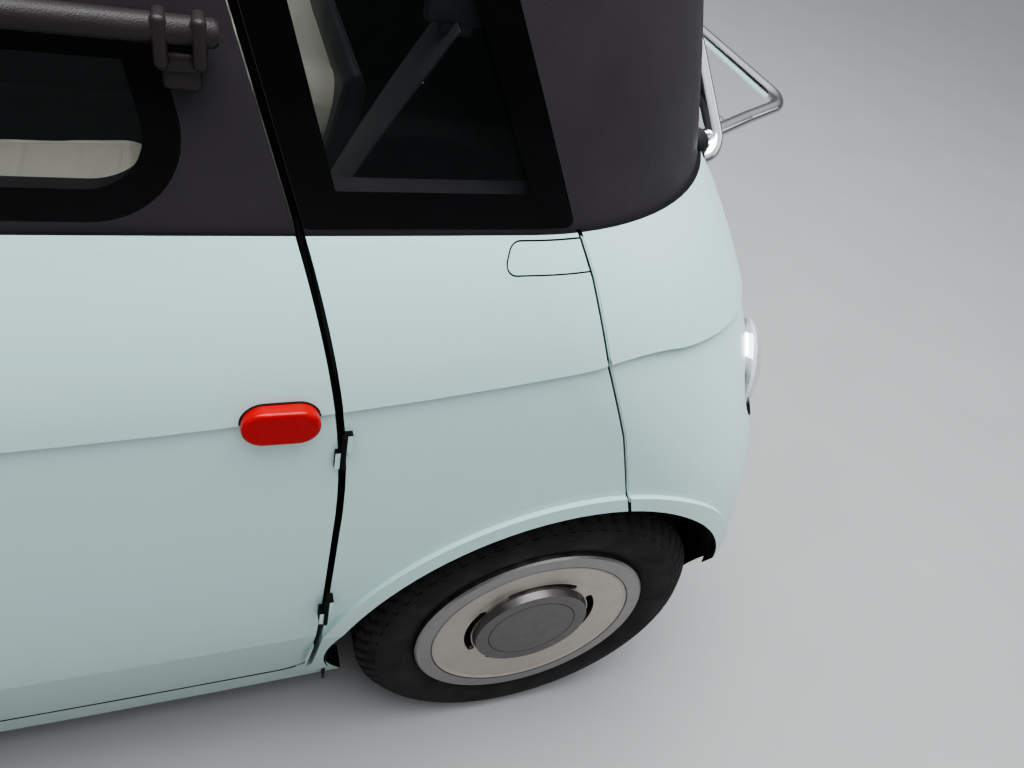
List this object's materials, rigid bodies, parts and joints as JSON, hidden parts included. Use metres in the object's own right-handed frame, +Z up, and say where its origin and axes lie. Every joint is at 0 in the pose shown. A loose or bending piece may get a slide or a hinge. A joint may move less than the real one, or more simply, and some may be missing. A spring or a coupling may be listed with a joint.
{
  "type": "two-seat electric microcar",
  "caption": "Small rounded two-seat electric city car with side doors, glass roof and a tubular rear rack.",
  "frame": {"origin": "on the ground under the middle of the car, at the bottom centre of its bounding box", "axes": "+X the car's left side, +Y its rear, +Z up"},
  "size_m": [1.686, 2.5376, 1.53],
  "materials": {
    "body_paint": "pale mint green satin paint on moulded panels",
    "dark_trim": "warm dark grey grained plastic",
    "liner_black": "black moulded liner",
    "frame_black": "black paint",
    "battery_grey": "grey paint",
    "cast_grey": "as cast",
    "clear_glass": "clear safety glass with a black printed border",
    "roof_tint": "tinted roof glass",
    "clear_lens": "clear domed lens",
    "red_lens": "glossy red reflector",
    "bright_chrome": "polished chrome tube",
    "tyre_rubber": "black rubber",
    "cover_silver": "champagne silver paint with a dark grey cap",
    "seat_cover": "cream leather-like cover with piping",
    "cabin_plastic": "black grained plastic",
    "wheel_rim_grip": "black soft-touch rim"
  },
  "bodies": {
    "car": {"arch_liners": "liner_black", "battery": "battery_grey", "cabin_frame": "dark_trim", "dashboard": "cabin_plastic", "drive_unit": "cast_grey", "floor_frame": "frame_black", "front_panel": "body_paint", "hatch_cover": "body_paint", "headlamps": "clear_lens", "left_seat": "seat_cover", "left_side": "body_paint", "mirrors": "dark_trim", "quarter_windows": "clear_glass", "rack": "bright_chrome", "rear_panel": "body_paint", "rear_window": "clear_glass", "right_seat": "seat_cover", "right_side": "body_paint", "roof_glass": "roof_tint", "suspension": "frame_black", "tail_lamps": "clear_lens", "windscreen": "clear_glass", "wiper": "frame_black"},
    "left_door_body": {"left_door": "body_paint", "left_door_frame": "dark_trim", "left_door_glass": "clear_glass", "left_window_bar": "dark_trim", "left_handle": "dark_trim", "left_reflector": "red_lens"},
    "right_door_body": {"right_door": "body_paint", "right_door_frame": "dark_trim", "right_door_glass": "clear_glass", "right_window_bar": "dark_trim", "right_handle": "dark_trim", "right_reflector": "red_lens"},
    "left_steer_body": {"left_knuckle": "cast_grey"},
    "right_steer_body": {"right_knuckle": "cast_grey"},
    "steering_wheel_body": {"steering_wheel": "wheel_rim_grip"},
    "front_left_body": {"front_left_tyre": "tyre_rubber", "front_left_wheel": "cover_silver"},
    "front_right_body": {"front_right_tyre": "tyre_rubber", "front_right_wheel": "cover_silver"},
    "rear_left_body": {"rear_left_tyre": "tyre_rubber", "rear_left_wheel": "cover_silver"},
    "rear_right_body": {"rear_right_tyre": "tyre_rubber", "rear_right_wheel": "cover_silver"}
  },
  "joints": [
    {"name": "left_door_hinge", "type": "hinge", "parent": "car", "child": "left_door_body", "pos_m": [0.693, 0.5258, 0.6], "axis": [0, 0, 1], "range_deg": [0, 68]},
    {"name": "right_door_hinge", "type": "hinge", "parent": "car", "child": "right_door_body", "pos_m": [-0.693, -0.5258, 0.6], "axis": [0, 0, 1], "range_deg": [0, 68]},
    {"name": "left_steer", "type": "hinge", "parent": "car", "child": "left_steer_body", "pos_m": [0.552, -0.865, 0.2785], "axis": [0, 0, 1], "range_deg": [-32, 32]},
    {"name": "right_steer", "type": "hinge", "parent": "car", "child": "right_steer_body", "pos_m": [-0.552, -0.865, 0.2785], "axis": [0, 0, 1], "range_deg": [-32, 32]},
    {"name": "steering_wheel_turn", "type": "hinge", "parent": "car", "child": "steering_wheel_body", "pos_m": [0.29, -0.33, 0.88], "axis": [0, 0.8829, 0.4695], "range_deg": [-448, 448]},
    {"name": "front_left_spin", "type": "hinge", "parent": "left_steer_body", "child": "front_left_body", "pos_m": [0.582, -0.865, 0.2785], "axis": [1, 0, 0], "continuous": true},
    {"name": "front_right_spin", "type": "hinge", "parent": "right_steer_body", "child": "front_right_body", "pos_m": [-0.582, -0.865, 0.2785], "axis": [1, 0, 0], "continuous": true},
    {"name": "rear_left_spin", "type": "hinge", "parent": "car", "child": "rear_left_body", "pos_m": [0.582, 0.865, 0.2785], "axis": [1, 0, 0], "continuous": true},
    {"name": "rear_right_spin", "type": "hinge", "parent": "car", "child": "rear_right_body", "pos_m": [-0.582, 0.865, 0.2785], "axis": [1, 0, 0], "continuous": true}
  ],
  "couplings": [
    {"joint": "right_steer", "follows": "left_steer", "ratio": 1},
    {"joint": "steering_wheel_turn", "follows": "left_steer", "ratio": -14}
  ]
}
